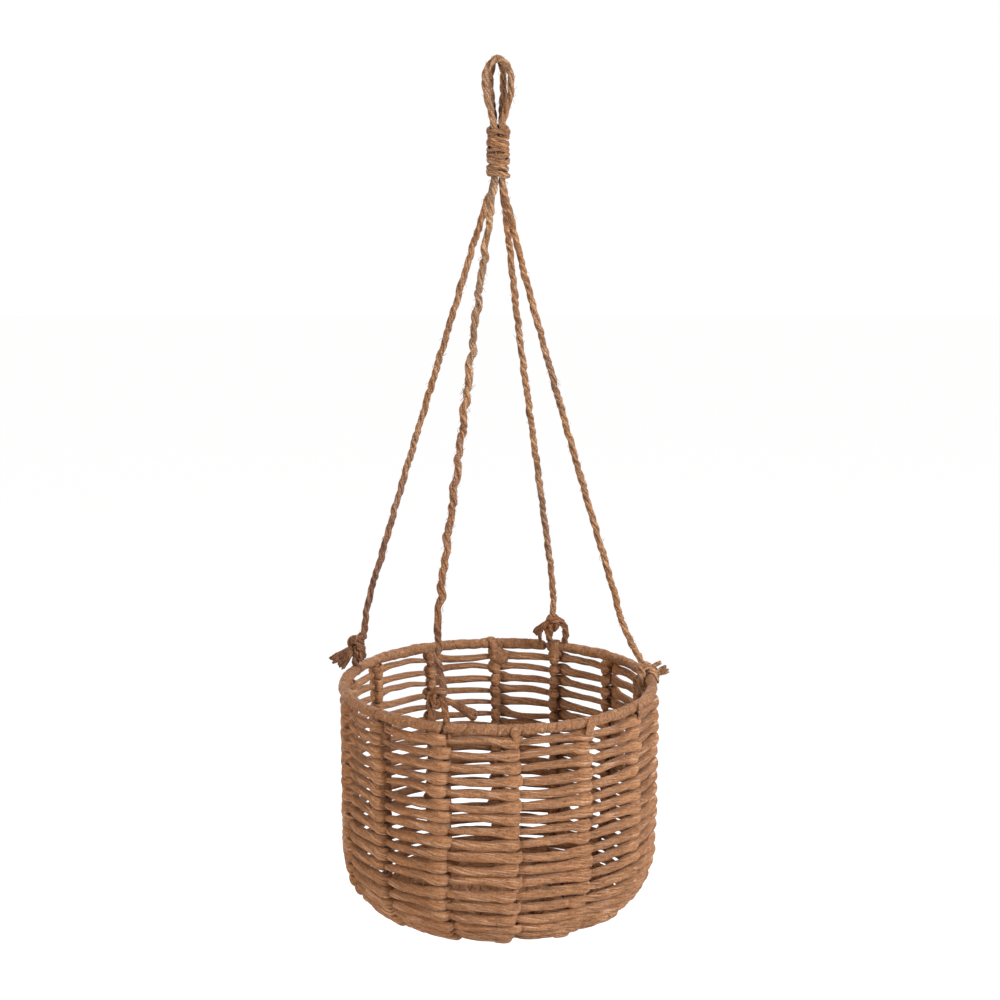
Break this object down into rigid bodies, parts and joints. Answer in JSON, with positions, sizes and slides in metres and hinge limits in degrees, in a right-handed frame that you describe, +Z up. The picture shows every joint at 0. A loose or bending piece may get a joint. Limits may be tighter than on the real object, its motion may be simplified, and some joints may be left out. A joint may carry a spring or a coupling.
{
  "type": "hanging basket",
  "caption": "Round open basket of twisted paper rope woven on a welded wire frame, hung by jute cords that meet in a whipped bundle under a hanging loop.",
  "frame": {"origin": "where the hook bears, inside the top of the hanging loop", "axes": "+Z up along the hanging line; -Y towards the viewer of the picture; +X to the picture's right"},
  "size_m": [0.2643, 0.2483, 0.6571],
  "materials": {
    "paper_rope": "twisted kraft paper, matte with a slight sheen on the folds",
    "paper_strip": "wound kraft paper strip, matte",
    "jute_cord": "three-strand twisted jute, matte and hairy",
    "jute_fray": "opened jute fibres, matte",
    "dark_wire": "dark blue-grey wire, semi-gloss"
  },
  "bodies": {
    "root": {"rim_hoop": "dark_wire", "hub_ring": "dark_wire", "stake_01": "dark_wire", "stake_02": "dark_wire", "stake_03": "dark_wire", "stake_04": "dark_wire", "stake_05": "dark_wire", "stake_06": "dark_wire", "stake_07": "dark_wire", "stake_08": "dark_wire", "stake_09": "dark_wire", "stake_10": "dark_wire", "stake_11": "dark_wire", "stake_12": "dark_wire", "stake_13": "dark_wire", "stake_14": "dark_wire", "woven_row_01": "paper_rope", "woven_row_02": "paper_rope", "woven_row_03": "paper_rope", "woven_row_04": "paper_rope", "woven_row_05": "paper_rope", "woven_row_06": "paper_rope", "woven_row_07": "paper_rope", "woven_row_08": "paper_rope", "woven_row_09": "paper_rope", "woven_row_10": "paper_rope", "woven_row_11": "paper_rope", "woven_row_12": "paper_rope", "woven_row_13": "paper_rope", "woven_row_14": "paper_rope", "woven_row_15": "paper_rope", "woven_row_16": "paper_rope", "woven_row_17": "paper_rope", "woven_row_18": "paper_rope", "woven_row_19": "paper_rope", "woven_row_20": "paper_rope", "woven_row_21": "paper_rope", "woven_row_22": "paper_rope", "woven_row_23": "paper_rope", "rim_binding": "paper_strip", "base_centre_coil": "paper_rope", "knot_front": "jute_fray", "knot_right": "jute_fray", "knot_back": "jute_fray", "knot_left": "jute_fray", "cord_front_right": "jute_cord", "cord_left_back": "jute_cord", "whipping_cord": "jute_cord"}
  },
  "joints": []
}
